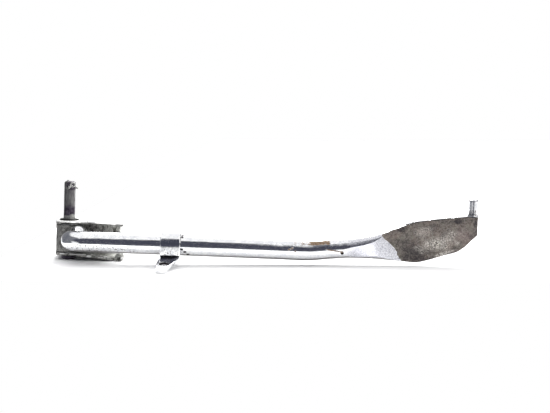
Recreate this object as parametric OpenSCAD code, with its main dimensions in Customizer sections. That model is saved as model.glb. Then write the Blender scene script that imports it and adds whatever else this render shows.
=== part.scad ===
// Swing-out stand for a motorcycle, with its clevis bracket.
// The Z axis is the pivot pin's axis. Z = 0 is the top of the seat washer, where the frame's lug would sit.
// The leg is folded along +X, and the sole of its foot faces -Y.

/* [Pivot pin] */
// Diameter of the pivot pin's free end
pin_d = 9.5; // [8:0.5:10]
// Diameter of the pin's journal inside the bracket
journal_d = 10.3; // [10:0.1:10.6]
// Free length of the pin above the seat washer
pin_reach = 33.5; // [25:0.5:45]
// Diameter of the pin's round head
pin_head_d = 12.6; // [12:0.1:18]
// Thickness of the pin's head
pin_head_t = 3.1; // [2:0.1:5]
// Diameter of the cross hole for the split pin
cross_hole_d = 3; // [2:0.1:3.2]
// Distance from the pin's free end to the cross hole
cross_hole_drop = 5.5; // [4:0.5:8]

/* [Washers and bushes] */
// Outer diameter of the seat washer
washer_d = 16.8; // [15:0.1:20]
// Thickness of the seat washer
washer_t = 1.2; // [0.8:0.1:2]
// Thickness of each thrust washer between an ear and the eye
shim_t = 0.5; // [0.3:0.1:0.8]
// Wall thickness of the bushes in the eye
bush_wall = 1.2; // [0.8:0.1:1.5]
// Length of each bush
bush_l = 9; // [6:0.5:10]

/* [Bracket] */
// Height of the bracket over both ears
bracket_h = 31.2; // [30:0.2:34]
// Thickness of each ear
ear_t = 3; // [2.6:0.1:3.4]
// Reach of the ears from the pin axis along the folded leg
ear_l = 46; // [46:0.2:60]
// Reach of the ears from the pin axis towards the leg
ear_front = 14; // [13:0.5:15]
// Thickness of the back web
web_t = 6; // [4:0.5:8]
// Length of the web from the pin axis
web_l = 43.4; // [40:0.2:46]
// Depth of the hollow in the upper ear's front edge, over the leg's lump
hollow_depth = 7; // [5:0.5:7]

/* [Leg] */
// Diameter of the leg's round bar
bar_d = 18; // [16:0.5:19]
// Distance of the bar's axis in front of the pin axis
bar_offset = 28; // [27:0.5:32]
// Centreline radius of the elbow
bend_r = 12; // [11:0.5:14]
// Length from the pin axis to the tip of the foot
leg_l = 357; // [340:1:380]
// Angle between the sole and the bar
sole_angle = 3.5; // [2:0.5:5]

/* [Spring clamp] */
// Distance from the pin axis to the clamp's near side
clamp_x = 87; // [60:1:150]
// Width of the clamp's strap
clamp_w = 17; // [14:0.2:20]
// Thickness of the strap under the bar
strap_t = 2.4; // [2:0.1:3]
// Thickness of the clamp's tab
tab_t = 2.6; // [2:0.1:3]
// Distance from the bar's axis to the tip of the tab
tab_l = 41.6; // [36:0.2:44]
// Slope of the tab below the horizontal
tab_slope = 14; // [8:1:14]
// Sideways offset of the tab's tip towards the pivot
tab_skew = 3.5; // [0:0.1:4]
// Diameter of the hole for the return spring's hook
spring_hole_d = 8; // [6:0.2:8.4]

/* [Kick peg] */
// Diameter of the peg at the tip of the foot
peg_d = 8; // [6:0.5:9]
// Height of the peg above the foot
peg_h = 15; // [10:0.5:20]

/* [Hidden] */
$fn = 64;

running = 0.05;                               // radial clearance of the turning fits
ear_top = -washer_t;
mid_z = ear_top - bracket_h / 2;              // height of the bar's axis, midway between the ears
pin_r = pin_d / 2;
bore_r = journal_d / 2 + running;
bar_r = bar_d / 2;
half_gap = bracket_h / 2 - ear_t;
eye_half = half_gap - shim_t - running;       // half of the eye's height
bush_r = bore_r + bush_wall;
journal_rise = 0.6;                           // the journal ends inside the seat washer

ear_r = 11.5;                                 // round end of the ears, about the pin axis
web_y = 12;                                   // front face of the web
back_y = web_y + web_t;
wall_x = -13.5;                               // outer side of the stop wall beside the eye
wall_t = 1.7;
wall_y = 7.5;                                 // front edge of the stop wall
corner_x = 4;                                 // where the ears' front edge meets their round end
hollow_x = 16;                                // middle of the hollow in the upper ear's front edge
hollow_r = 12;
lug_r = 3.7;                                  // rolled lug at the end of the lower ear
lug_l = 9;
lug_reach = 5;                                // the lug stands out past the ear's end

neck_x = 6.8;                                 // the neck lies beside the pin axis
ball_r = 13.6;                                // forged lump where the neck meets the eye
ball_y = -2;
barrel_r = 10.8;

loft_x = 205;                                 // the round bar ends and the foot begins
loft_lap = 1;                                 // length of the bar inside the foot's first section
loft_r = bar_r + 0.15;
sole_x = 240;                                 // the sole's plane leaves the bar's front here
ring_n = 32;                                  // points around each section of the foot

// Sections of the foot: distance along the leg, underside, upper side and back (all from the bar's axis),
// and how square the section is (2 is round)
SECTIONS = [
    [loft_x, -loft_r, loft_r, loft_r, 2],
    [215, -8.8, 9.4, 9.1, 2],
    [232, -6.9, 11, 9, 2],
    [250, -5.3, 12.8, 8.5, 2.1],
    [266, -5.1, 15.6, 7.6, 2.3],
    [278, -5.4, 19.3, 6.4, 2.6],
    [286, -5.7, 22.4, 5.5, 3],
    [294, -6.1, 25.2, 4.7, 3.5],
    [304, -6.6, 28, 3.9, 4],
    [313, -4.8, 29.7, 3.6, 4],
    [328, 0, 31.9, 3.6, 4],
    [340, 3.6, 33.4, 3.8, 4],
    [leg_l, 18.6, 34.8, 4, 4],
];

tenon_r = 2.5;                                // the peg's spigot in the foot
tenon_l = 7;
peg_x = leg_l - 4;
peg_y = 1;                                    // from the bar's axis
peg_seat = 34;                                // height of the peg's seat over the bar's axis
collar_r = 4.6;
collar_h = 1.5;

strap_r = bar_r + strap_t;
crown = 1.2;                                  // how much thicker the strap is over the bar than under it
tab_top = -bar_r + 3.6;                       // upper face of the tab, from the bar's axis
front_wall = strap_r + 0.2;                   // the strap's front is upright between the bar and the tab
tab_tip_r = 5.4;                              // radius of the tab's round end
tab_square = 14;                              // the tab is as wide as the strap up to here
tab_taper = 17;                               // the tab's far side starts to taper here
tab_end = [tab_l - tab_tip_r, -tab_skew];     // centre of the round end
tab_inset = 0.02;                             // how far the tab's sides run inside its round end
hole_back = 5.6;                              // from the round end's centre back to the hole's
hole_side = 1;
far = 100;                                    // larger than any solid that it cuts

function lerp(a, b, t) = a + (b - a) * t;
function power(v, p) = sign(v) * pow(abs(v), 2 / p);

// One section of the foot: a rounded outline in the plane across the leg
function ring(s) = [
    for (i = [0 : ring_n - 1])
        let (a = 360 * i / ring_n, mid = (s[1] + s[2]) / 2, half = (s[2] - s[1]) / 2, deep = (s[3] + loft_r) / 2)
            [s[0], (s[3] - loft_r) / 2 + deep * power(cos(a), s[4]), mid + half * power(sin(a), s[4])]
];

// A closed solid through all the sections
module skin(sections) {
    rings = [for (s = sections) ring(s)];
    last = len(rings) - 1;
    points = [for (r = rings) for (p = r) p];
    sides = [
        for (k = [0 : last - 1])
            for (i = [0 : ring_n - 1])
                let (a = k * ring_n + i, b = k * ring_n + (i + 1) % ring_n)
                    for (f = [[a, b + ring_n, b], [a, a + ring_n, b + ring_n]]) f
    ];
    near_cap = [for (i = [1 : ring_n - 2]) [0, i, i + 1]];
    far_cap = [for (i = [1 : ring_n - 2]) [0, i + 1, i] + last * ring_n * [1, 1, 1]];
    polyhedron(points, concat(sides, near_cap, far_cap));
}

module tube(r_out, r_in, h) {
    difference() {
        cylinder(r = r_out, h = h);
        translate([0, 0, -1])
            cylinder(r = r_in, h = h + 2);
    }
}

// Outline of one ear seen from above
module ear_outline(length) {
    circle(r = ear_r);
    polygon([
        [-4, -ear_r + 0.8], [corner_x, -ear_front], [length - 3, -ear_front], [length, -ear_front + 3],
        [length, back_y - 4], [length - 4, back_y], [wall_x, back_y], [wall_x, wall_y], [-ear_r + 3, 0]
    ]);
}

module ear(z) {
    translate([0, 0, z])
        linear_extrude(ear_t)
            ear_outline(ear_l);
}

// Clevis casting: two ears, a back web and the wall that stops the leg
module bracket() {
    color("dimgray")
        difference() {
            union() {
                difference() {
                    ear(ear_top - ear_t);
                    translate([hollow_x, hollow_depth - hollow_r - ear_front, ear_top - ear_t - 1])
                        cylinder(r = hollow_r, h = ear_t + 2);
                }
                ear(ear_top - bracket_h);
                translate([wall_x, web_y, ear_top - bracket_h + 1])
                    cube([web_l - wall_x, web_t, bracket_h - 2]);
                translate([wall_x, wall_y, ear_top - bracket_h + 1])
                    cube([wall_t, back_y - wall_y - 1, bracket_h - 2]);
                translate([ear_l + lug_reach - lug_r, -ear_front - 0.4, ear_top - bracket_h + 1.8])
                    rotate([-90, 0, 0])
                        cylinder(r = lug_r, h = lug_l);
            }
            translate([0, 0, ear_top - bracket_h - 1])
                cylinder(r = bore_r, h = bracket_h + 2);
        }
}

// Headed pin through both ears, with a cross hole at its free end
module pivot_pin() {
    under = ear_top - bracket_h;
    color("slategray")
        difference() {
            union() {
                translate([0, 0, under])
                    cylinder(d = journal_d, h = ear_top + journal_rise - under);
                translate([0, 0, under])
                    cylinder(r = pin_r, h = pin_reach - 1 - under);
                translate([0, 0, pin_reach - 1])
                    cylinder(r1 = pin_r, r2 = pin_r - 1, h = 1, $fn = 64);
                translate([0, 0, under - pin_head_t])
                    cylinder(d = pin_head_d, h = pin_head_t);
            }
            translate([0, pin_d, pin_reach - cross_hole_drop])
                rotate([90, 0, 0])
                    cylinder(d = cross_hole_d, h = 2 * pin_d);
        }
}

module seat_washer() {
    color("black")
        translate([0, 0, ear_top])
            tube(washer_d / 2, bore_r, washer_t);
}

// Split pin: an eye in front, a shank through the cross hole and a leg turned along the back
module cotter_pin() {
    wire_r = 0.9;
    shank_r = cross_hole_d / 2 - 0.1;
    eye_r = 1.9;
    shank_l = pin_d + 2.6;
    color("silver")
        translate([0, 0, pin_reach - cross_hole_drop]) {
            translate([0, shank_l / 2, 0])
                rotate([90, 0, 0])
                    cylinder(r = shank_r, h = shank_l);
            translate([1.7, -pin_r - 2, 1.9])
                rotate([90, 0, 0])
                    rotate_extrude()
                        translate([eye_r, 0])
                            circle(r = wire_r);
            translate([0, pin_r + 0.2 + wire_r, -0.3])
                rotate([0, 90, 0])
                    cylinder(r = wire_r, h = 7);
        }
}

module thrust_washer(z) {
    color("gray")
        translate([0, 0, z])
            tube(9, bore_r, shim_t);
}

module upper_thrust_washer() {
    thrust_washer(mid_z + half_gap - shim_t);
}

module lower_thrust_washer() {
    thrust_washer(mid_z - half_gap);
}

module bush(z) {
    color("peru")
        translate([0, 0, z])
            tube(bush_r, bore_r, bush_l);
}

module upper_bush() {
    bush(mid_z + eye_half - bush_l);
}

module lower_bush() {
    bush(mid_z - eye_half);
}

// Solid of the eye: a barrel round the pin and a round lump on the neck, cut flat above and below
module eye_solid() {
    translate([0, 0, -eye_half])
        cylinder(r = barrel_r, h = 2 * eye_half);
    intersection() {
        translate([neck_x, ball_y, 0])
            sphere(r = ball_r);
        translate([-far / 2, -far / 2, -eye_half])
            cube([far, far, 2 * eye_half]);
    }
}

// Everything in front of the sole's plane
module sole_cut() {
    translate([sole_x, -bar_r, 0])
        rotate([0, 0, sole_angle])
            translate([0, -far, -far])
                cube([2 * far, far, 2 * far]);
}

// One forging: eye, neck, elbow, bar and flattened foot
module leg() {
    color("gainsboro")
        translate([0, 0, mid_z])
            difference() {
                union() {
                    eye_solid();
                    translate([neck_x, bend_r - bar_offset, 0])
                        rotate([-90, 0, 0])
                            cylinder(r = bar_r, h = bar_offset - bend_r + ball_y);
                    translate([neck_x + bend_r, bend_r - bar_offset, 0])
                        rotate([0, 0, 180])
                            rotate_extrude(angle = 90)
                                translate([bend_r, 0])
                                    circle(r = bar_r);
                    translate([neck_x + bend_r, -bar_offset, 0])
                        rotate([0, 90, 0])
                            cylinder(r = bar_r, h = loft_x + loft_lap - neck_x - bend_r);
                    translate([0, -bar_offset, 0])
                        difference() {
                            skin(SECTIONS);
                            sole_cut();
                        }
                }
                translate([0, 0, -far / 2])
                    cylinder(r = bore_r + 0.6, h = far);
                for (z = [eye_half - bush_l, -eye_half - 1])
                    translate([0, 0, z])
                        cylinder(r = bush_r, h = bush_l + 1);
                translate([peg_x, peg_y - bar_offset, peg_seat])
                    cylinder(r = collar_r + 0.6, h = 5);
                translate([peg_x, peg_y - bar_offset, peg_seat - tenon_l])
                    cylinder(r = tenon_r, h = tenon_l + 1);
            }
}

// Round peg that the rider's boot catches, on a spigot in the foot
module kick_peg() {
    color("whitesmoke")
        translate([peg_x, peg_y - bar_offset, mid_z + peg_seat]) {
            translate([0, 0, -tenon_l])
                cylinder(r = tenon_r, h = tenon_l);
            cylinder(r1 = collar_r, r2 = peg_d / 2, h = collar_h);
            translate([0, 0, collar_h])
                cylinder(d = peg_d, h = peg_h - collar_h - 1);
            translate([0, 0, peg_h - 1])
                cylinder(r1 = peg_d / 2, r2 = peg_d / 2 - 1, h = 1);
        }
}

// Outline of the tab seen from above: as wide as the strap, then tapered on one side to a round end
module tab_outline() {
    half = clamp_w / 2;
    run = tab_end - [tab_taper, half];
    lean = -atan2(run[1], run[0]) - asin(tab_tip_r / norm(run));
    inner_r = tab_tip_r - tab_inset;
    polygon([
        [0, -half], [0, half], [tab_taper, half], tab_end + inner_r * [sin(lean), cos(lean)],
        tab_end - [0, inner_r], [tab_square, -half]
    ]);
    translate(tab_end)
        circle(r = tab_tip_r);
}

// Side view of the strap's front, which is upright between the bar and the tab, in the tab's frame
module front_outline() {
    low = tab_top - tab_t / 2;
    wall = function (z) [(front_wall - z * sin(tab_slope)) / cos(tab_slope), z];
    polygon([wall(4), wall(low), [5, low], [5, 4]]);
}

// Clamp round the bar, with a tab whose hole takes the return spring's hook. Its first axis runs down the tab.
module spring_clamp() {
    color("silver")
        translate([clamp_x + clamp_w / 2, -bar_offset, mid_z])
            rotate([tab_slope, 0, 0])
                rotate([0, 0, -90])
                    difference() {
                        union() {
                            translate([0, clamp_w / 2, crown / 2])
                                rotate([90, 0, 0])
                                    cylinder(r = strap_r + crown / 2, h = clamp_w);
                            translate([0, clamp_w / 2, 0])
                                rotate([90, 0, 0])
                                    linear_extrude(clamp_w)
                                        front_outline();
                            translate([0, 0, tab_top - tab_t])
                                linear_extrude(tab_t)
                                    tab_outline();
                        }
                        translate([0, clamp_w, 0])
                            rotate([90, 0, 0])
                                cylinder(r = bar_r, h = 2 * clamp_w);
                        translate([tab_end[0] - hole_back, tab_end[1] + hole_side, tab_top - tab_t - 1])
                            cylinder(d = spring_hole_d, h = tab_t + 2);
                    }
}

bracket();
pivot_pin();
seat_washer();
cotter_pin();
upper_thrust_washer();
lower_thrust_washer();
upper_bush();
lower_bush();
leg();
kick_peg();
spring_clamp();
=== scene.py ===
from math import cos, pi, radians, sin, tan

import bmesh
import bpy
import numpy as np
from mathutils import Matrix, Vector


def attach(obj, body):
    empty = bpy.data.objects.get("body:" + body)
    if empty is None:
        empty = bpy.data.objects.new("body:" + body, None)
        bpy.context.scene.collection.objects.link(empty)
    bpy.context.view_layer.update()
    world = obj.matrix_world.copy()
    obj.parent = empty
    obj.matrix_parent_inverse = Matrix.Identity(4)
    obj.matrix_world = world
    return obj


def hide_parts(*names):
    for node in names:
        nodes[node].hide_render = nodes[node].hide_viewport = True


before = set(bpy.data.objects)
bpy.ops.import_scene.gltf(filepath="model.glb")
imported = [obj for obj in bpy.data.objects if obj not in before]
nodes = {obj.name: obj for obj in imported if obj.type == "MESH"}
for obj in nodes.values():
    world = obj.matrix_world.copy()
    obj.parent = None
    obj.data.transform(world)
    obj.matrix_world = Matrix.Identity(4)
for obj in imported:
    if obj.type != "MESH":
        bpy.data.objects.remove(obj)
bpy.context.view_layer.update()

# All the lengths below are in millimetres, in the CAD's frame: origin on the pivot pin's axis, the leg along +X, the
# foot's sole facing -Y. MM turns them into metres when a mesh is made.
MM = 0.001

# bracket: two ears joined by a web at the back and a thin wall at the left
EAR_TOP = -1.2
EAR_T = 3.0  # thickness of an ear
UNDER = -32.4  # underside of the lower ear
EAR_FRONT, EAR_BACK = -14.0, 18.0
EAR_LEFT, EAR_RIGHT = -13.5, 46.0
WEB_FRONT, WEB_RIGHT = 12.0, 43.4
HOLLOW_X, HOLLOW_Y, HOLLOW_R = 16, -19, 12  # in the upper ear's front edge

# pivot pin
BORE_R = 5.2
HEAD_R, HEAD_BOTTOM = 6.3, -35.5
JOURNAL_R = 5.15  # where the bushes turn
PIN_R, PIN_TOP = 4.9, 33.5  # the free end
SPLIT_Z = 28.0  # height of the split pin

# leg: eye, lump at its front, elbow, bar and foot
MID_Z = -16.8  # height of the bar's axis
EYE_R, EYE_HALF = 10.8, 12.05
BUSH_R, BUSH_L = 6.42, 9.0  # seats of the bushes, from each face of the eye
LUMP_X, LUMP_Y, LUMP_R = 6.8, -2.0, 13.6
ELBOW_X, ELBOW_Y, ELBOW_R = 18.8, -16.0, 12.0
BAR_Y, BAR_R = -28.0, 9.0
LOFT_R = 9.15  # the bar's radius where the foot starts
FOOT_X = 205.0
TIP_X = 357.0

# kick peg and spring clamp
PEG_AT = (353, BAR_Y + 1, MID_Z)
PEG_R, PEG_SEAT, PEG_L = 4.0, 34.0, 15.0  # the seat is above the bar's axis
CLAMP_X, CLAMP_W = 87.0, 17.0
STRAP_R = 12.0
TAB_SLOPE = 14  # degrees


# ---- numbers

def smooth(a, b, x):
    """0 where x is at a, 1 where it is at b, smoothly between. b may be the lower one."""
    t = np.clip((np.asarray(x, float) - a) / (b - a), 0, 1)
    return t * t * (3 - 2 * t)


def soft_max(a, b, k):
    """The larger of a and b, rounded off where they are within k of each other."""
    h = np.clip(0.5 + (a - b) / (2 * k), 0, 1)
    return b + (a - b) * h + k * h * (1 - h)


HASH_PRIMES = (73856093, 19349663, 83492791)


def lump_noise(p, size, seed):
    """Smooth noise from -1 to 1 at the points p, with lumps of that size."""
    q = p / size + seed * 7.31
    cell = np.floor(q).astype(np.int64)
    f = q - cell
    f = f * f * (3 - 2 * f)
    total = np.zeros(len(p))
    for dx in (0, 1):
        for dy in (0, 1):
            for dz in (0, 1):
                corner = cell + (dx, dy, dz)
                n = np.bitwise_xor.reduce(corner * HASH_PRIMES, axis=1)
                n = (n ^ (n >> 13)) * 1274126177 & 0x7FFFFFFF
                weight = (f[:, 0] if dx else 1 - f[:, 0]) * (f[:, 1] if dy else 1 - f[:, 1])
                total += weight * (f[:, 2] if dz else 1 - f[:, 2]) * (n / 0x3FFFFFFF - 1)
    return total


def ellipse(x, z, centre, radii):
    """0 at the centre of an ellipse and 1 on its edge."""
    return np.hypot((x - centre[0]) / radii[0], (z - centre[1]) / radii[1])


def arc(x, y, r, *degrees):
    """Points round a centre, at the angles from np.arange(*degrees)."""
    return [(x + r * cos(t), y + r * sin(t)) for t in np.radians(np.arange(*degrees))]


def monotone(xs, ys):
    """A smooth curve through the points that doesn't overshoot between them."""
    xs, ys = np.asarray(xs, float), np.asarray(ys, float)
    h = np.diff(xs)
    d = np.diff(ys) / h
    m = np.zeros(len(xs))
    m[0], m[-1] = d[0], d[-1]
    for i in range(1, len(xs) - 1):
        if d[i - 1] * d[i] > 0:
            w1, w2 = 2 * h[i] + h[i - 1], h[i] + 2 * h[i - 1]
            m[i] = (w1 + w2) / (w1 / d[i - 1] + w2 / d[i])

    def at(x):
        i = int(np.clip(np.searchsorted(xs, x) - 1, 0, len(xs) - 2))
        t = (x - xs[i]) / h[i]
        a = (1 + 2 * t) * (1 - t) ** 2 * ys[i] + t * (1 - t) ** 2 * h[i] * m[i]
        return a + t * t * (3 - 2 * t) * ys[i + 1] + t * t * (t - 1) * h[i] * m[i + 1]
    return at


# ---- meshes

def points_of(ob):
    """The mesh's points, in millimetres."""
    co = np.zeros(len(ob.data.vertices) * 3)
    ob.data.vertices.foreach_get("co", co)
    return co.reshape(-1, 3) / MM


def normals_of(ob):
    n = np.zeros(len(ob.data.vertices) * 3, np.float32)
    ob.data.vertices.foreach_get("normal", n)
    return n.reshape(-1, 3).astype(float)


def set_points(ob, p):
    ob.data.vertices.foreach_set("co", (np.asarray(p, float) * MM).ravel())
    ob.data.update()


def mesh(name, verts, faces):
    """A new object, with its faces turned outwards."""
    me = bpy.data.meshes.new(name)
    me.from_pydata((np.asarray(verts, float) * MM).tolist(), [], faces)
    me.validate()
    ob = bpy.data.objects.new(name, me)
    bpy.context.scene.collection.objects.link(ob)
    turn_outward(ob, True)
    return ob


def turn_outward(ob, mixed=False):
    """Turns an inside-out mesh. A mixed one has its faces made to agree first."""
    bm = bmesh.new()
    bm.from_mesh(ob.data)
    if mixed:
        bmesh.ops.recalc_face_normals(bm, faces=bm.faces)
    if bm.calc_volume(signed=True) < 0:
        bmesh.ops.reverse_faces(bm, faces=bm.faces)
    bm.to_mesh(ob.data)
    bm.free()


def skin(name, rings, closed_path=False):
    """Mesh over rings of points. An open one gets a fan over each end."""
    rings = np.asarray(rings, float)
    s, n, _ = rings.shape
    verts = rings.reshape(-1, 3).tolist()
    faces = []
    for k in range(s if closed_path else s - 1):
        a0, b0 = k * n, (k + 1) % s * n
        faces += [(a0 + i, a0 + (i + 1) % n, b0 + (i + 1) % n, b0 + i) for i in range(n)]
    if not closed_path:
        for k in (0, s - 1):
            verts.append(rings[k].mean(0).tolist())
            faces += [(len(verts) - 1, k * n + i, k * n + (i + 1) % n) for i in range(n)]
    return mesh(name, verts, faces)


def lathe(name, profile, n=96, at=(0, 0, 0), axis="Z"):
    """Solid of revolution from (radius, height) pairs."""
    a = np.arange(n) * 2 * pi / n
    rings = []
    for r, h in profile:
        c, s = r * np.cos(a), r * np.sin(a)
        hh = np.full(n, h)
        rings.append(np.stack({"Z": (c, s, hh), "Y": (s, hh, c), "X": (hh, c, s)}[axis], 1) + at)
    return skin(name, rings)


def offset(outline, d):
    """The outline moved inwards by d. It runs counterclockwise."""
    o = np.asarray(outline, float)
    before, after = o - np.roll(o, 1, 0), np.roll(o, -1, 0) - o
    n1 = np.stack([-before[:, 1], before[:, 0]], 1) / np.linalg.norm(before, axis=1)[:, None]
    n2 = np.stack([-after[:, 1], after[:, 0]], 1) / np.linalg.norm(after, axis=1)[:, None]
    bisector = n1 + n2
    return o + d * bisector * (2 / np.maximum((bisector ** 2).sum(1), 1.0))[:, None]


def slab(name, outline, levels):
    """Plate whose outline is offset inwards at each (height, inset) level."""
    return skin(name, [np.column_stack([offset(outline, d), np.full(len(outline), z)]) for z, d in levels])


def block(name, low, high):
    """Box between two corners."""
    (x0, y0, z0), (x1, y1, z1) = low, high
    verts = [(x, y, z) for z in (z0, z1) for x, y in ((x0, y0), (x1, y0), (x1, y1), (x0, y1))]
    sides = [(i, (i + 1) % 4, 4 + (i + 1) % 4, 4 + i) for i in range(4)]
    return mesh(name, verts, [(0, 1, 2, 3), (4, 5, 6, 7)] + sides)


def apply_modifiers(ob):
    bpy.context.view_layer.update()
    me = bpy.data.meshes.new_from_object(ob.evaluated_get(bpy.context.evaluated_depsgraph_get()))
    old = ob.data
    ob.modifiers.clear()
    ob.data = me
    bpy.data.meshes.remove(old)


def boolean(ob, tools, operation):
    """Joins the tools to the object or cuts them out of it, and removes them."""
    for tool in tools:
        m = ob.modifiers.new("cut", "BOOLEAN")
        m.operation, m.solver, m.object = operation, "MANIFOLD", tool
    apply_modifiers(ob)
    for tool in tools:
        bpy.data.objects.remove(tool)


def melt(name, parts, voxel):
    """One solid from overlapping ones, with a fine even mesh."""
    bpy.context.view_layer.update()
    bm = bmesh.new()
    for p in parts:
        bm.from_mesh(p.data)
        bpy.data.objects.remove(p)
    me = bpy.data.meshes.new(name)
    bm.to_mesh(me)
    bm.free()
    ob = bpy.data.objects.new(name, me)
    bpy.context.scene.collection.objects.link(ob)
    m = ob.modifiers.new("melt", "REMESH")
    m.mode, m.voxel_size, m.adaptivity = "VOXEL", voxel * MM, 0
    apply_modifiers(ob)
    return ob


def relax(ob, times):
    """Smooths the steps that melt() leaves."""
    m = ob.modifiers.new("relax", "SMOOTH")
    m.iterations, m.factor = times, 0.5
    apply_modifiers(ob)


def attribute(ob, name, values):
    """A value at each point, which a material reads with Shader.field()."""
    a = ob.data.attributes.new(name, "FLOAT", "POINT")
    a.data.foreach_set("value", np.asarray(values, np.float32))


def place(ob, body, material, replaced, angle):
    """Finishes a piece: its material, body and CAD node, and the angle above which an edge looks sharp."""
    ob.data.shade_smooth()
    ob.data.set_sharp_from_angle(angle=radians(angle))
    ob.data.materials.clear()
    ob.data.materials.append(material)
    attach(ob, body)
    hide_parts(replaced)


# ---- shader nodes

class Nodes:
    """Short calls for the nodes of a tree."""

    def __init__(self, tree):
        self.tree = tree

    def add(self, kind, inputs=None, **props):
        n = self.tree.nodes.new("ShaderNode" + kind)
        for k, v in props.items():
            setattr(n, k, v)
        for k, v in (inputs or {}).items():
            self.plug(v, n.inputs[k])
        return n

    def plug(self, v, socket):
        if isinstance(v, bpy.types.NodeSocket):
            self.tree.links.new(v, socket)
        else:
            socket.default_value = v

    def math(self, op, *values):
        return self.add("Math", dict(enumerate(values)), operation=op).outputs[0]

    def times(self, *values):
        result = values[0]
        for value in values[1:]:
            result = self.math("MULTIPLY", result, value)
        return result

    def map(self, v, a, b, lo=0.0, hi=1.0):
        """lo where v is at a, hi where it is at b, smoothly between."""
        return self.add("MapRange", {"Value": v, "From Min": a, "From Max": b, "To Min": lo, "To Max": hi},
                        interpolation_type="SMOOTHSTEP").outputs[0]

    def mix(self, fac, a, b):
        """From colour a to colour b."""
        a, b = (v + (1.0,) if isinstance(v, tuple) else v for v in (a, b))
        return self.add("Mix", {0: fac, 6: a, 7: b}, data_type="RGBA").outputs[2]

    def blend(self, fac, a, b):
        """From number a to number b."""
        return self.add("Mix", {0: fac, 2: a, 3: b}, data_type="FLOAT").outputs[0]


class Shader(Nodes):
    """A material. Texture sizes are in millimetres."""

    def __init__(self, name):
        self.material = bpy.data.materials.new(name)
        self.material.use_nodes = True
        super().__init__(self.material.node_tree)
        self.out = self.tree.nodes["Principled BSDF"]
        self.mm = self.add("VectorMath", {0: self.add("TexCoord").outputs["Object"], "Scale": 1000.0},
                           operation="SCALE").outputs[0]

    def noise(self, size, detail, rough=0.5, stretch=(1, 1, 1)):
        v = self.mm
        if stretch != (1, 1, 1):
            v = self.add("VectorMath", {0: v, 1: stretch}, operation="MULTIPLY").outputs[0]
        return self.add("TexNoise", {"Vector": v, "Scale": 1.0 / size, "Detail": detail,
                                     "Roughness": rough}).outputs["Fac"]

    def field(self, name):
        return self.add("Attribute", attribute_name=name).outputs["Fac"]

    def ragged(self, mask, amount, size, edge):
        """A 0 to 1 mask whose edge is broken up by noise."""
        n = self.math("MULTIPLY_ADD", self.noise(size, 5.0, 0.65), amount, -0.5 * amount)
        return self.map(self.math("ADD", mask, n), 0.5 - edge, 0.5 + edge)

    def bump(self, height, depth, normal=None):
        """height goes from 0 to 1 and is depth millimetres tall."""
        inputs = {"Height": height, "Distance": depth * MM, "Strength": 1.0}
        if normal is not None:
            inputs["Normal"] = normal
        return self.add("Bump", inputs).outputs[0]

    def finish(self, color, rough, metal, normal):
        for name, v in (("Base Color", color), ("Roughness", rough), ("Metallic", metal), ("Normal", normal)):
            self.plug(v, self.out.inputs[name])
        return self.material


def cast_layers(s, light=0.36, dark=0.04):
    """Colour, roughness, metal and bump height of the rough cast grey, between two tones."""
    broad = s.map(s.noise(4.0, 5.0, 0.68), 0.42, 0.60)
    grain = s.map(s.noise(1.7, 5.0, 0.75), 0.40, 0.62)
    specks = s.map(s.noise(0.8, 3.0, 0.6), 0.58, 0.70)
    color = s.mix(broad, (dark * 1.02, dark, dark * 0.98), (light * 0.86, light * 0.86, light * 0.82))
    color = s.mix(s.times(grain, 0.8), color, (light * 1.15, light * 1.13, light * 1.06))
    color = s.mix(s.times(specks, 0.85), color, (dark * 0.4, dark * 0.36, dark * 0.42))
    rough = s.map(grain, 0.0, 1.0, 0.62, 0.40)
    return color, rough, 0.7, grain


def cast_material():
    """Grey casting, with a violet stain and painted shade under the upper ear, painted light on the web between the
    ears, a painted highlight on the upper ear's top, and light wear streaks on the lower lip.
    """
    s = Shader("cast_steel")
    oil_shade_dark, oil_shade_light = (0.035, 0.026, 0.040), (0.15, 0.13, 0.155)
    lit_grey, bright = (0.62, 0.62, 0.58), (0.86, 0.86, 0.84)
    color, rough, metal, grain = cast_layers(s)
    violet = s.map(s.noise(2.2, 4.0, 0.6), 0.38, 0.64)
    # violet stain, and painted shade, in the recess under the upper ear
    color = s.mix(s.field("oil_and_shade"), color, s.mix(violet, oil_shade_dark, oil_shade_light))
    # painted light: the web between the ears is lightened where they shade it
    pale = s.times(s.field("pale"), s.map(s.noise(2.6, 5.0, 0.7), 0.34, 0.62))
    color = s.mix(pale, color, lit_grey)
    # painted highlight on the upper ear's top, and wear streaks on the lower ear's lip
    sheen_and_wear = s.ragged(s.field("sheen_and_wear"), 0.35, 1.6, 0.12)
    color = s.mix(sheen_and_wear, color, bright)
    rough = s.blend(sheen_and_wear, rough, 0.36)
    n = s.bump(s.noise(1.6, 5.0, 0.65), 0.16)
    n = s.bump(grain, 0.10, n)
    return s.finish(color, rough, s.blend(sheen_and_wear, metal, 0.35), n)


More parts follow.
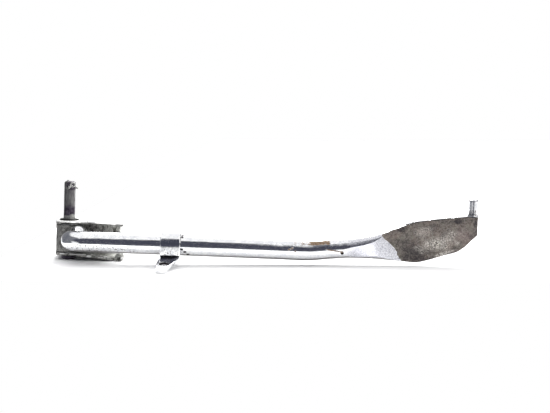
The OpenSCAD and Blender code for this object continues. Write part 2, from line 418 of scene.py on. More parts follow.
def leg_material():
    """Chrome on the bar, the facet's scuffs, the bare eye and the worn sole, told apart by the attributes."""
    s = Shader("leg_chrome")
    plating, cloudy = (0.92, 0.925, 0.93), (0.76, 0.77, 0.80)
    pit, scuffed, facet = (0.05, 0.042, 0.04), (0.42, 0.42, 0.47), (0.62, 0.62, 0.68)
    underside_dark, mark_black = (0.16, 0.15, 0.145), (0.025, 0.022, 0.024)
    rust_dark, rust_light = (0.10, 0.055, 0.03), (0.27, 0.19, 0.12)
    steel_dark, steel_red, steel_green = (0.052, 0.044, 0.043), (0.165, 0.130, 0.112), (0.155, 0.145, 0.122)
    steel_grain, steel_burnt, steel_bare = (0.30, 0.265, 0.235), (0.030, 0.025, 0.030), (0.72, 0.68, 0.62)
    blush_dark, blush_light, hole = (0.17, 0.125, 0.12), (0.30, 0.24, 0.225), (0.035, 0.03, 0.03)

    # polished plating: nearly even, with cloudy patches, wipe marks and tiny pits
    cloud = s.map(s.noise(6.0, 5.0, 0.65), 0.36, 0.66)
    wipe = s.noise(1.2, 3.0, 0.6, stretch=(0.12, 1, 1))
    color = s.mix(cloud, plating, cloudy)
    rough = s.blend(cloud, 0.055, 0.12)
    rough = s.math("MULTIPLY_ADD", wipe, 0.05, rough)
    metal = s.map(s.noise(1.5, 5.0, 0.72), 0.45, 0.72, 1.0, 0.86)
    normal = s.bump(s.noise(5.5, 3.0, 0.55, stretch=(0.45, 1, 1)), 0.09)
    normal = s.bump(s.noise(1.4, 4.0, 0.65), 0.012, normal)
    normal = s.bump(s.noise(0.5, 4.0, 0.6), 0.004, normal)
    # pits, thickest where the attribute says
    pit_noise = s.noise(1.25, 3.0, 0.6)
    limit = s.blend(s.field("pits"), 0.76, 0.575)
    pits = s.map(s.math("SUBTRACT", pit_noise, limit), 0.0, 0.035)
    color = s.mix(pits, color, pit)
    rough = s.blend(pits, rough, 0.6)
    normal = s.bump(s.math("SUBTRACT", 1.0, pits), 0.05, normal)
    # the facet before the sole is scuffed and speckled
    scuff = s.map(s.noise(0.9, 4.0, 0.75, stretch=(0.6, 1, 1)), 0.42, 0.62)
    scuff = s.times(s.field("speckle"), scuff)
    color = s.mix(s.times(s.field("speckle"), 0.6), color, facet)
    color = s.mix(s.times(scuff, 0.75), color, scuffed)
    rough = s.blend(s.field("speckle"), rough, 0.22)
    # painted shade along the underside, and dark marks
    underside_shade = s.ragged(s.field("underside_shade"), 0.5, 2.0, 0.15)
    color = s.mix(s.times(underside_shade, 0.8), color, underside_dark)
    rough = s.blend(underside_shade, rough, 0.45)
    # painted reflection of the clamp's edge, and a dark notch at the dent
    mark = s.ragged(s.field("mark"), 0.35, 1.0, 0.15)
    color = s.mix(mark, color, mark_black)
    rough = s.blend(mark, rough, 0.5)
    # rust
    rust = s.ragged(s.field("rust"), 0.9, 2.6, 0.1)
    color = s.mix(rust, color, s.mix(s.map(s.noise(1.1, 4.0, 0.6), 0.35, 0.65), rust_dark, rust_light))
    rough = s.blend(rust, rough, 0.75)
    metal = s.blend(rust, metal, 0.15)
    normal = s.bump(s.times(rust, s.noise(0.8, 4.0, 0.6)), 0.08, normal)
    # unplated eye
    bare = s.ragged(s.field("bare"), 0.5, 2.2, 0.08)
    cast_color, cast_rough, cast_metal, grain = cast_layers(s, 0.27, 0.07)
    color = s.mix(bare, color, cast_color)
    rough = s.blend(bare, rough, cast_rough)
    metal = s.blend(bare, metal, cast_metal)
    normal = s.bump(s.times(bare, grain), 0.09, normal)
    # the worn sole: dull brown-grey steel, scraped bright in the middle
    sole = s.ragged(s.field("sole"), 0.55, 2.4, 0.05)
    patch = s.map(s.noise(5.5, 6.0, 0.68), 0.38, 0.63)
    fine = s.map(s.noise(1.5, 6.0, 0.8), 0.38, 0.62)
    warm = s.mix(s.map(s.noise(10.0, 2.0), 0.4, 0.62), steel_red, steel_green)
    steel = s.mix(patch, steel_dark, warm)
    steel = s.mix(s.times(fine, 0.60), steel, steel_grain)
    steel = s.mix(s.times(s.field("dark"), s.map(fine, 0.0, 1.0, 1.0, 0.62)), steel, steel_burnt)
    scraped = s.times(s.field("scrape"), s.map(s.noise(0.9, 4.0, 0.75), 0.44, 0.57))
    steel = s.mix(scraped, steel, steel_bare)
    steel = s.mix(s.field("blush"), steel, s.mix(fine, blush_dark, blush_light))
    holes = s.map(s.noise(1.7, 3.0, 0.6), 0.60, 0.70)
    steel = s.mix(s.times(holes, 0.75), steel, hole)
    color = s.mix(sole, color, steel)
    rough = s.blend(sole, rough, s.blend(fine, 0.72, 0.5))
    metal = s.blend(sole, metal, 0.45)
    normal = s.bump(s.times(sole, s.noise(1.3, 6.0, 0.7)), 0.30, normal)
    return s.finish(color, rough, metal, normal)


def chrome_material(name, tone=0.9, dull=0.06):
    """Chrome of the small pieces, with brown specks, black marks and painted shade where the attributes say."""
    s = Shader(name)
    speck, black = (0.16, 0.12, 0.10), (0.02, 0.018, 0.02)
    cloud = s.map(s.noise(6.0, 4.0, 0.6), 0.35, 0.7)
    scratch = s.noise(0.5, 3.0, 0.6, stretch=(1, 0.08, 0.3))
    color = s.mix(cloud, (tone, tone, tone * 1.01), (tone * 0.86, tone * 0.87, tone * 0.9))
    limit = s.math("MULTIPLY_ADD", s.field("spots"), -0.16, 0.72)
    specks = s.map(s.math("SUBTRACT", s.noise(1.3, 3.0, 0.6), limit), 0.0, 0.05)
    color = s.mix(specks, color, speck)
    # black marks on the peg; painted shade in the clamp's fold, its hook hole and along its right edge
    dirt_and_shade = s.ragged(s.field("dirt_and_shade"), 0.4, 1.2, 0.2)
    color = s.mix(dirt_and_shade, color, black)
    rough = s.math("MULTIPLY_ADD", scratch, 0.06, s.blend(cloud, dull, dull + 0.08))
    rough = s.blend(specks, rough, 0.6)
    n = s.bump(s.noise(4.5, 3.0, 0.55), 0.07)
    n = s.bump(scratch, 0.006, n)
    return s.finish(color, rough, 1.0, n)


def pin_material():
    """Dark scored steel, with stained parts, a painted shadow round the split pin's eye, and clean parts."""
    s = Shader("pin_steel")
    dark, light, mid = (0.085, 0.08, 0.085), (0.21, 0.21, 0.205), (0.13, 0.125, 0.13)
    stain_shadow_dark, stain_shadow_light = (0.030, 0.024, 0.036), (0.10, 0.085, 0.11)
    clean_dark, clean_light = (0.22, 0.22, 0.21), (0.42, 0.42, 0.40)
    streak = s.map(s.noise(1.4, 5.0, 0.65, stretch=(1, 1, 0.22)), 0.34, 0.68)
    blotch = s.map(s.noise(3.2, 4.0, 0.6), 0.36, 0.66)
    color = s.mix(streak, dark, light)
    color = s.mix(s.times(blotch, 0.45), color, mid)
    # stains, and the painted shadow round the split pin's eye
    color = s.mix(s.field("stain_and_shadow"), color, s.mix(blotch, stain_shadow_dark, stain_shadow_light))
    color = s.mix(s.field("clean"), color, s.mix(streak, clean_dark, clean_light))
    rough = s.blend(streak, 0.55, 0.36)
    n = s.bump(s.noise(0.9, 5.0, 0.65, stretch=(1, 1, 0.4)), 0.07)
    n = s.bump(s.noise(0.28, 3.0, 0.6, stretch=(0.3, 0.3, 1)), 0.02, n)
    return s.finish(color, rough, 0.85, n)


def plain_metal(name, dark, light, size, rough, metal=1.0):
    """A metal whose colour and roughness vary between two tones."""
    s = Shader(name)
    t = s.map(s.noise(size, 5.0, 0.62), 0.34, 0.68)
    specks = s.map(s.noise(size * 0.35, 3.0, 0.6), 0.62, 0.74)
    color = s.mix(t, dark, light)
    color = s.mix(s.times(specks, 0.5), color, tuple(0.5 * v for v in dark))
    n = s.bump(s.noise(size * 0.6, 5.0, 0.65), 0.02)
    return s.finish(color, s.blend(t, rough + 0.12, rough), metal, n)


# ---- the leg

# sections of the foot: distance along the leg, underside, upper side, back, and how square the section is
SECTIONS = np.array([
    (FOOT_X, -9.15, 9.15, 9.15, 2), (215, -8.8, 9.4, 9.1, 2), (232, -6.9, 11.0, 9.0, 2),
    (250, -5.3, 12.8, 8.5, 2.1), (266, -5.1, 15.7, 7.6, 2.3), (278, -5.4, 19.4, 6.4, 2.6),
    (286, -5.7, 22.5, 5.5, 3), (294, -6.1, 25.2, 4.7, 3.5), (299, -6.4, 27.2, 4.3, 3.8),
    (304, -6.6, 28.3, 3.9, 4), (313, -4.8, 29.7, 3.6, 4), (328, 0, 31.9, 3.6, 4),
    (340, 3.6, 33.4, 3.8, 4), (TIP_X, 18.6, 34.8, 4.0, 4)])
# the facet's upper edge: distance along the leg, and height
CREST = [(241, 0.9), (243.9, 2.1), (252.1, 5.1), (261.9, 7.7), (271.6, 11.0), (276.2, 14.0), (281, 19.0), (288, 22.5),
         (300, 26.0), (TIP_X, 33.6)]
SOLE_TURN = tan(radians(3.5))  # the sole isn't quite parallel to the bar
FACET_LEAN = tan(radians(22))
FRONT_SHARE = 96  # points of each ring on the front face
BACK_SHARE = 144
HALF_FACE = radians(72)  # half the angle that the front face takes on a round ring


def shares(first, last, end):
    """Steps round a ring, from the middle of the back over the top, down the front and home along the underside."""
    return np.concatenate([np.linspace(0, first, BACK_SHARE // 2 + 1)[:-1],
                           np.linspace(first, last, FRONT_SHARE + 1)[:-1],
                           np.linspace(last, end, BACK_SHARE // 2 + 1)[:-1]])


def foot_ring(x, curves, crest, size=1.0):
    """One ring of the foot: the rounded section, cut by the sole and by the facet that leads to it."""
    low, high, back, square = (c(x) for c in curves)
    a = np.linspace(0, 2 * pi, 1441)
    half, deep = (high - low) / 2, (back + LOFT_R) / 2
    y = (back - LOFT_R) / 2 + deep * np.sign(np.cos(a)) * np.abs(np.cos(a)) ** (2 / square)
    z = (high + low) / 2 + half * np.sign(np.sin(a)) * np.abs(np.sin(a)) ** (2 / square)
    plane = -BAR_R + (x - 240) * SOLE_TURN
    # the facet's upper edge lies at the crest's height, and the facet leans back below it
    zc = crest(max(x, CREST[0][0]))
    front = np.abs(a - pi) < pi / 2
    yc = np.interp(zc, z[front][::-1], y[front][::-1])
    lean = FACET_LEAN * (1 - float(smooth(246, 284, x)))
    facet = yc + (zc - z) * lean
    cut = facet + (plane - facet) * float(smooth(258, 290, x))
    cut = cut - 12 * (1 - float(smooth(240.5, 243.5, x)))
    # the front face's share of the ring moves from its usual angle to the cut's own edges
    at = np.nonzero(front & (y < cut))[0]
    y = np.where(front, soft_max(y, cut, 0.22), y)
    known = float(smooth(243, 254, x)) if len(at) > 20 else 0.0
    first = (pi - HALF_FACE) * (1 - known) + (a[at[0]] * known if known else 0)
    last = (pi + HALF_FACE) * (1 - known) + (a[at[-1]] * known if known else 0)
    run = np.concatenate([[0], np.cumsum(np.hypot(np.diff(y), np.diff(z)))])
    s = shares(*np.interp([first, last], a, run), run[-1])
    y, z = np.interp(s, run, y), np.interp(s, run, z)
    cy, cz = (back + plane) / 2, (high + low) / 2
    return np.stack([np.full(len(s), x), BAR_Y + cy + (y - cy) * size, MID_Z + cz + (z - cz) * size], 1)


def round_ring(centre, inward, r, flat=None):
    """A round ring, with its points shared out as on the foot. flat cuts it off at that height."""
    a = shares(pi - HALF_FACE, pi + HALF_FACE, 2 * pi)
    z = r * np.sin(a)
    if flat:
        z = np.sign(z) * -soft_max(-np.abs(z), np.full(len(z), -flat), 0.5)
    p = np.outer(r * np.cos(a), inward) + np.array(centre)
    p[:, 2] = MID_Z + z
    return p


def leg_rings():
    """The leg from the lump on its eye, through the neck and the elbow and along the bar, to the foot's tip."""
    rings = []
    for t in np.radians(np.concatenate([[3, 8], np.arange(14, 128, 6), np.arange(130, 142, 3)])):
        r = LUMP_R * sin(t)
        if t > pi / 2:
            r = soft_max(r, BAR_R, 1.2)
        rings.append(round_ring((LUMP_X, LUMP_Y + LUMP_R * cos(t), 0), (1, 0, 0), r, EYE_HALF))
    for y in (-13.2, -14.6, -15.6):
        rings.append(round_ring((LUMP_X, y, 0), (1, 0, 0), BAR_R))
    for t in np.radians(np.linspace(0, 90, 31)):
        inward = (cos(t), sin(t), 0)
        centre = (ELBOW_X - ELBOW_R * inward[0], ELBOW_Y - ELBOW_R * inward[1], 0)
        rings.append(round_ring(centre, inward, BAR_R))
    for x in np.arange(22, 204, 2.6):
        rings.append(round_ring((x, BAR_Y, 0), (0, 1, 0), BAR_R + (LOFT_R - BAR_R) * float(smooth(190, FOOT_X, x))))
    curves = [monotone(SECTIONS[:, 0], SECTIONS[:, k]) for k in range(1, 5)]
    crest = monotone(*zip(*CREST))
    for x in np.arange(FOOT_X, TIP_X - 0.4, 0.8):
        rings.append(foot_ring(x, curves, crest))
    # the tip's rounded rim, and its end face
    for t in np.radians((20, 45, 70, 90)):
        rings.append(foot_ring(TIP_X - 0.7 + 0.7 * sin(t), curves, crest, 1 - 0.09 * (1 - cos(t))))
    for k in (0.8, 0.6, 0.4, 0.2):
        rings.append(foot_ring(TIP_X, curves, crest, k * 0.91))
    return rings


def leg_mesh():
    leg = skin("leg_forging", leg_rings())
    rim = [(0.1, 0), (EYE_R - 0.9, 0), (EYE_R - 0.3, 0.3), (EYE_R, 0.9)]
    barrel = lathe("barrel", [(r, -EYE_HALF + d) for r, d in rim] + [(EYE_R, z) for z in np.linspace(-10.5, 10.5, 22)]
                   + [(r, EYE_HALF - d) for r, d in rim[::-1]], n=128, at=(0, 0, MID_Z))
    boolean(leg, [barrel], "UNION")
    cuts = [lathe("bore", [(BORE_R + 0.6, -20), (BORE_R + 0.6, 20)], at=(0, 0, MID_Z)),
            lathe("upper_seat", [(BUSH_R, EYE_HALF - BUSH_L), (BUSH_R, 20)], at=(0, 0, MID_Z)),
            lathe("lower_seat", [(BUSH_R, -20), (BUSH_R, BUSH_L - EYE_HALF)], at=(0, 0, MID_Z)),
            lathe("peg_seat", [(5.4, PEG_SEAT), (5.4, 40)], at=PEG_AT),
            lathe("peg_hole", [(2.5, 27), (2.5, 40)], at=PEG_AT)]
    boolean(leg, cuts, "DIFFERENCE")
    return leg


def build_leg():
    leg = leg_mesh()
    p, n = points_of(leg), normals_of(leg)
    x, y, z = p[:, 0], p[:, 1], p[:, 2] - MID_Z
    # where the plating ends: a ragged line across the neck, then the whole front face of the foot
    ragged = 0.9 * lump_noise(p, 3.0, 3) + 0.5 * lump_noise(p, 1.2, 4)
    line = np.interp(z, [-9, -3.9, -3.2, 4.7, 9.5, 11.3, 14, 24], [293, 291.8, 290.8, 286.5, 282, 278.9, 275.6, 271])
    sole = smooth(-1.2, 1.2, x - line + ragged) * smooth(0.45, 0.8, -n[:, 1])
    sole = np.maximum(sole, smooth(353.5, 356, x) * smooth(0.3, 0.7, n[:, 0]))
    # relief of the sole
    relief = 0.20 * lump_noise(p, 7.0, 5) + 0.13 * lump_noise(p, 2.6, 6) + 0.07 * lump_noise(p, 1.1, 7)
    pits = smooth(0.35, 0.75, lump_noise(p, 2.0, 8)) * 0.28
    p += n * (sole * (relief - pits - 0.12))[:, None]
    # the facet and the bar aren't perfectly true either
    wobble = 0.035 * lump_noise(p, 9.0, 9) + 0.012 * lump_noise(p, 3.5, 10)
    true_fit = 1 - smooth(12, 9.5, np.hypot(x, y)) * smooth(6, 9, 14 - np.abs(z))
    p += n * (wobble * (1 - sole) * true_fit)[:, None]
    # dent where the facet starts
    dent = np.sqrt(((x - 241.3) / 2.6) ** 2 + ((z - 0.2) / 2.0) ** 2 + ((y + 37) / 3) ** 2)
    p[:, 1] += 1.3 * smooth(1.0, 0.0, dent)
    set_points(leg, p)

    attribute(leg, "sole", sole)
    from_axis = np.hypot(x, y)
    bare = smooth(11.4, 10.9, from_axis) * smooth(9, 6, x) + smooth(4.5, 6.5, y)
    bare = np.maximum(bare, smooth(6.9, 6.5, from_axis))
    # the plating stops short of the eye's left end, in a ragged patch
    bare = np.maximum(bare, smooth(6.6, 4.2, x + 0.12 * (z - 6)) * smooth(2.5, 5.5, z) * smooth(-17.5, -15.8, y))
    attribute(leg, "bare", np.clip(bare, 0, 1))
    in_front = y < BAR_Y
    top_flank = smooth(0.35, 0.6, n[:, 2]) * smooth(0.98, 0.8, n[:, 2]) * smooth(0.1, 0.4, -n[:, 1])
    rust = top_flank * np.interp(x, [194, 198, 212, 216, 230, 234], [0, 0.43, 0.46, 0.74, 0.68, 0])
    spots = [(199.5, 2.2, 2.4), (201.5, -0.4, 1.6), (195.8, 0.8, 1.5), (8.4, 9.0, 1.6)]
    for sx, sz, r in spots:
        rust = np.maximum(rust, 0.75 * smooth(1.0, 0.2, ellipse(x, z, (sx, sz), (r, r))) * in_front)
    rust = np.maximum(rust, 0.5 * smooth(1.0, 0.3, dent))
    # a thin line of rust that runs down to the dent
    off_line = np.abs(z - 2.2 + (x - 227) * 0.12)
    line_ends = smooth(224, 230, x) * smooth(243, 240, x)
    rust = np.maximum(rust, 0.62 * smooth(0.9, 0.35, off_line) * line_ends * in_front)
    attribute(leg, "rust", rust * (1 - sole))
    attribute(leg, "speckle", smooth(243, 250, x) * smooth(0.5, 0.8, -n[:, 1]) * (1 - sole))
    # painted shade on the leg's underside
    attribute(leg, "underside_shade", smooth(-0.62, -0.9, n[:, 2]) * smooth(2, 20, x) * (1 - sole))
    # a painted reflection and shadow of the clamp's edge: a dark line round the bar beside the clamp, with a spike
    # above and a crescent below
    clamp_end = CLAMP_X + CLAMP_W
    line_x = clamp_end + 0.4 + 0.35 * smooth(3, 8, z) + np.where(z < -1, 5.6 * smooth(-0.5, -7.5, z) ** 1.2, 0)
    width = 0.42 + 0.75 * smooth(-0.5, -3.0, z) + 0.2 * smooth(4, 7, z)
    mark = smooth(1.0, 0.7, np.abs(x - line_x) / width) * smooth(-8.2, -7.4, z) * in_front
    spike = (x > clamp_end) & (y < BAR_Y + 5) & (np.abs(z - 7.9) < (clamp_end + 4.4 - x) / 4)
    mark = np.maximum(mark, spike)
    notch = 1 - smooth(0.5, 1.0, ellipse(x, z, (241.6, -0.6), (2.0, 1.7)))
    mark = np.maximum(mark, notch * in_front)
    attribute(leg, "mark", mark)
    # dark blotches on the sole: centre, size and strength
    blotches = [((302, 0.5), (11, 10), 0.8), ((339.5, 29.3), (5.0, 2.8), 0.95), ((355, 27.5), (1.8, 4.5), 0.8),
                ((351, 16.8), (2.4, 2.4), 0.95), ((291, 22), (5, 3), 0.7), ((297, 6), (6, 8), 0.6),
                ((318, 24), (6, 4), 0.45), ((309, -3.5), (9, 2.5), 0.8)]
    murk = np.zeros(len(x))
    for centre, radii, strength in blotches:
        e = ellipse(x, z, centre, radii) + 0.35 * lump_noise(p, 3.2, 12)
        murk = np.maximum(murk, strength * smooth(1.1, 0.55, e))
    top_line = np.interp(x, SECTIONS[:, 0], SECTIONS[:, 2]) - z
    murk = np.maximum(murk, 0.75 * smooth(1.5, 0.4, top_line + 0.4 * lump_noise(p, 2.5, 13)))
    attribute(leg, "dark", murk)
    lower = smooth(0.1, -0.35, n[:, 2]) * smooth(84, 60, x)
    attribute(leg, "pits", np.clip(0.12 + 0.88 * lower, 0, 1))
    # the sole is scraped bright in its middle, above that, and along the sloping underside
    middle = ellipse(x - 0.4 * (z - 11), z - 0.25 * (x - 325), (325, 11.5), (20, 9.5))
    scrape = smooth(1.05, 0.25, middle + 0.45 * lump_noise(p, 4.5, 14)) * 0.95
    above = ellipse(x, z, (311, 19), (10, 8)) + 0.4 * lump_noise(p, 4, 15)
    scrape = np.maximum(scrape, 0.5 * smooth(1.0, 0.2, above))
    rim = ellipse(x, z - (x - 329) * 0.33, (329, 2.2), (12, 2.2))
    scrape = np.maximum(scrape, smooth(1.0, 0.4, rim) * 0.9)
    attribute(leg, "scrape", scrape)
    attribute(leg, "blush", smooth(1.0, 0.2, ellipse(x, z, (345, 18), (13, 9))) * 0.55)
    place(leg, "leg", leg_material(), "leg", 35)


# ---- the bracket

def ear_outline(hollow):
    """An ear seen from above. The upper one has a hollow that clears the lump on the leg's eye."""
    front = [(4, EAR_FRONT)]
    if hollow:
        front += arc(HOLLOW_X, HOLLOW_Y, HOLLOW_R, 150, 25, -8) + [(28, EAR_FRONT)]
    front += [(43, EAR_FRONT), (45, -13), (EAR_RIGHT, -11), (EAR_RIGHT, 14), (42, EAR_BACK), (EAR_LEFT + 1, EAR_BACK)]
    return arc(0, 0, 11.5, 150, 291, 5) + front + [(EAR_LEFT, EAR_BACK - 1), (EAR_LEFT, 7.5)]


def bracket_mesh():
    """The casting's body, remeshed so that its inner corners run into each other."""
    low, high = UNDER + 1, EAR_TOP - 1
    upper = [(EAR_TOP - EAR_T, 0.5), (EAR_TOP - 2.5, 0), (EAR_TOP - 1.1, 0), (EAR_TOP - 0.6, 0.4),
             (EAR_TOP - 0.25, 1.0), (EAR_TOP, 2.0)]
    lower = [(UNDER, 0.6), (UNDER + 0.5, 0), (UNDER + 2.5, 0), (UNDER + EAR_T, 0.6)]
    lug = [(2.6, -14.4), (3.4, -14.2), (3.7, -13.6), (3.5, -12.2), (3.1, -11), (3.3, -9.6), (3.7, -8.2), (3.6, -6),
           (2.4, -5.4)]
    parts = [slab("ear", ear_outline(True), upper),
             slab("ear", ear_outline(False), lower),
             block("web", (EAR_LEFT, WEB_FRONT, low), (WEB_RIGHT, EAR_BACK, high)),
             block("wall", (EAR_LEFT, 7.5, low), (-11.8, 17, high)),
             block("tip", (44, -13.6, EAR_TOP - EAR_T), (50.2, -6.5, EAR_TOP - 0.3)),
             block("rib", (28, 11.2, low), (32, 13, high)),
             block("rib", (39.4, 11.0, low), (WEB_RIGHT, 13, high)),
             lathe("lug", lug, n=48, at=(47.3, 0, -30.6), axis="Y")]
    bracket = melt("bracket_casting", parts, 0.42)
    # the upper ear thins towards its front edge, except at the tip
    chamfer = slab("chamfer", [(-5, 4.2), (40, 4.2), (40, 9), (-5, 9)], [(0, 0), (16, 0)])
    p = points_of(chamfer)
    # a wedge under the ear: x along the ear, its top slopes from the ear's underside up to the thin edge
    top = np.where(p[:, 2] > 8, -2.75, -4.3)
    set_points(chamfer, np.stack([p[:, 0], -4.5 - p[:, 2] * 0.62, np.where(p[:, 1] > 6, top, -4.9)], 1))
    turn_outward(chamfer)
    pocket = block("pocket", (42.4, -16, -33), (44.4, -10.5, -28))
    dimple = [(0.1, 9), (1.7, 9.2), (1.7, 14.5), (0.1, 15.2)]
    dimple = lathe("dimple", dimple, n=32, at=(38.4, 0, MID_Z + 6.4), axis="Y")
    eyelet = lathe("eyelet", [(1.5, -16), (1.5, -10)], n=32, at=(47.6, 0, -30.8), axis="Y")
    # a relief under the lower ear, in front of the pin's head
    relief = block("relief", (-16, -16, -36), (13, -6.9, UNDER + 1.7))
    boolean(bracket, [chamfer, relief, pocket, dimple, eyelet], "DIFFERENCE")
    bracket = melt("bracket_casting", [bracket], 0.42)
    relax(bracket, 3)
    return bracket


def build_bracket():
    bracket = bracket_mesh()
    p = points_of(bracket)
    x, y, z = p.T
    # the lower ear's front lip sags towards its lug, and the upper ear's tip droops a little
    sag = smooth(14, 44, x) * (1 - 0.5 * smooth(47, 52, x)) * smooth(-2, -10, y) * smooth(-26, -29, z)
    p[:, 2] -= 2.0 * sag
    p[:, 2] -= 0.35 * smooth(30, 46, x) * smooth(-8, -5, z) * smooth(0, -12, y)
    set_points(bracket, p)
    # the rough skin of the casting, finer round the pin and inside
    p, n = points_of(bracket), normals_of(bracket)
    x, y, z = p.T
    near_pin = smooth(10.5, 13, np.hypot(x, y))
    rim = smooth(0.25, 0.6, n[:, 2]) * smooth(EAR_TOP - 2.2, EAR_TOP - 1.2, z)
    inner = np.where((z > UNDER + 2.9) & (z < EAR_TOP - 2.9), 0.35, 1.0) * (1 - 0.6 * rim)
    rough = 0.20 * lump_noise(p, 5.0, 21) + 0.14 * lump_noise(p, 2.2, 22) + 0.09 * lump_noise(p, 0.95, 23)
    rough -= 0.22 * smooth(0.4, 0.75, lump_noise(p, 1.5, 24))
    p += n * (rough * (0.25 + 0.75 * near_pin) * inner - 0.06)[:, None]
    set_points(bracket, p)
    boolean(bracket, [lathe("bore", [(BORE_R, -40), (BORE_R, 5)])], "DIFFERENCE")
    p, n = points_of(bracket), normals_of(bracket)
    x, y, z = p.T
    # painted highlight on the upper ear's top faces, and light wear streaks on the lower ear's front lip
    sheen_and_wear = smooth(0.02, 0.3, n[:, 2]) * smooth(EAR_TOP - 1.9, EAR_TOP - 1.2, z)
    lip = smooth(-8, -10.5, y) * smooth(UNDER + 3.4, UNDER + 2.2, z) * smooth(UNDER - 2.2, UNDER + 0.8, z)
    sheen_and_wear = np.maximum(sheen_and_wear, 0.62 * lip * smooth(-0.25, 0.35, lump_noise(p * (0.6, 1, 2), 3.0, 25)))
    attribute(bracket, "sheen_and_wear", sheen_and_wear)
    # painted shade with a violet stain in the recess under the upper ear: a spot at the left, fading off to the right
    inside = smooth(8, 11.5, y) * smooth(EAR_TOP - 2, EAR_TOP - 4, z)
    blot = smooth(-9, -4, x) * smooth(13, 7, x) * smooth(-15, -10, z)
    attribute(bracket, "oil_and_shade", inside * np.maximum(blot, 0.30 * smooth(30, 12, x)))
    # painted light on the web between the ears, which they shade: from x 18, stronger from x 35, weaker again past x
    # 43
    pale = smooth(18, 30, x) * (z < EAR_TOP - 1.5) * (0.55 + 0.45 * smooth(33.5, 35, x) - 0.5 * smooth(43, 43.6, x))
    attribute(bracket, "pale", np.clip(pale, 0, 1))
    place(bracket, "bracket", cast_material(), "bracket", 60)


# ---- pin, washer and split pin

def build_pin():
    profile = [(0.1, HEAD_BOTTOM), (5.4, HEAD_BOTTOM), (5.95, -35.3), (HEAD_R, -34.9), (HEAD_R, -33.2), (6.1, -32.6),
               (5.6, UNDER), (JOURNAL_R, UNDER), (JOURNAL_R, -0.6), (5.12, 0.2), (5.0, 1.2), (4.95, 2.2),
               (PIN_R, 3.4)]
    profile += [(PIN_R, z) for z in np.linspace(4, 31.6, 70)]
    profile += [(4.8, 32.1), (4.5, 32.6), (4.0, 33.1), (3.6, 33.4), (3.0, PIN_TOP), (0.1, PIN_TOP)]
    pin = lathe("pivot_pin_turned", profile, n=112)
    boolean(pin, [lathe("cross", [(1.5, -8), (1.5, 8)], n=40, at=(0, 0, SPLIT_Z), axis="Y")], "DIFFERENCE")
    p, n = points_of(pin), normals_of(pin)
    z = p[:, 2]
    free = smooth(0.5, 3, z) * (np.hypot(p[:, 0], p[:, 1]) > 2)
    scored = 0.05 * lump_noise(p * (1, 1, 0.35), 2.2, 31) + 0.03 * lump_noise(p, 0.9, 32)
    scored -= 0.10 * smooth(0.5, 0.8, lump_noise(p * (1, 1, 0.6), 1.6, 33))
    p += n * (scored * free - 0.03 * free)[:, None]
    head = smooth(UNDER, UNDER - 1, z)
    p += n * (0.07 * lump_noise(p, 2.4, 34) * head)[:, None]
    set_points(pin, p)
    wob = 1.5 * lump_noise(p, 3.0, 35)
    x, front = p[:, 0], p[:, 1] < 0
    # a clean spot below the split pin's eye, inside the painted shadow round it
    spot = ellipse(x, z, (-0.6, 27.5), (2.3, 1.25))
    shadow = smooth(1.2, 0.9, ellipse(x, z, (2.6, 29.6), (4.6, 3.9))) * front * smooth(0.9, 1.2, spot)
    stain_and_shadow = np.maximum(smooth(12.5, 9.0, z + wob) * smooth(2.6, 4.4, z + wob), 0.9 * shadow)
    # the head below the lower ear is darkened too
    stain_and_shadow = np.maximum(stain_and_shadow, 0.95 * smooth(UNDER + 0.3, UNDER - 0.4, z))
    attribute(pin, "stain_and_shadow", stain_and_shadow)
    clean = smooth(4.4, 2.6, z + wob) * smooth(-2, 0.5, z)
    attribute(pin, "clean", np.maximum(clean, smooth(1.1, 0.8, spot) * front))
    place(pin, "bracket", pin_material(), "pivot_pin", 40)


def build_washer():
    profile = [(5.3, -1.0), (5.5, -1.18), (7.9, -1.19), (8.3, -1.0), (8.4, -0.6), (8.3, -0.2), (7.9, -0.02),
               (5.5, -0.02), (5.3, -0.2)]
    a = np.arange(128) * 2 * pi / 128
    rings = []
    for r, z in profile:
        r = r + 0.06 * np.sin(3 * a + 1) * (r > 6) - 0.04 * (r > 6)
        rings.append(np.stack([r * np.cos(a), r * np.sin(a), np.full(128, z)], 1))
    washer = skin("seat_washer_disc", rings, closed_path=True)
    mat = plain_metal("black_washer", (0.010, 0.010, 0.009), (0.035, 0.035, 0.032), 1.2, 0.42, metal=0.6)
    place(washer, "bracket", mat, "seat_washer", 50)


def bent_wire(name, path, r):
    """Round wire along a path of points, thinner at both ends."""
    path = np.array(path, float)
    tangents = np.gradient(path, axis=0)
    tangents /= np.linalg.norm(tangents, axis=1)[:, None]
    side = np.cross(tangents[0], (0.3, 0.2, 1.0))
    rings = []
    a = np.arange(20) * pi / 10
    for k, (c, t) in enumerate(zip(path, tangents)):
        side -= t * np.dot(side, t)
        side /= np.linalg.norm(side)
        up = np.cross(t, side)
        size = r * (0.55 if k in (0, len(path) - 1) else 1)
        rings.append(c + size * (np.outer(np.cos(a), side) + np.outer(np.sin(a), up)))
    return skin(name, rings)


def curve(points, per):
    """A smooth path through the points, with so many steps between each two."""
    p = [Vector(q) for q in points]
    p = [p[0] * 2 - p[1]] + p + [p[-1] * 2 - p[-2]]
    out = []
    for i in range(1, len(p) - 2):
        for k in range(per):
            t = k / per
            out.append(0.5 * ((2 * p[i]) + (p[i + 1] - p[i - 1]) * t
                              + (2 * p[i - 1] - 5 * p[i] + 4 * p[i + 1] - p[i + 2]) * t * t
                              + (3 * p[i] - p[i - 1] - 3 * p[i + 1] + p[i + 2]) * t ** 3))
    return [tuple(q) for q in out] + [tuple(p[-2])]


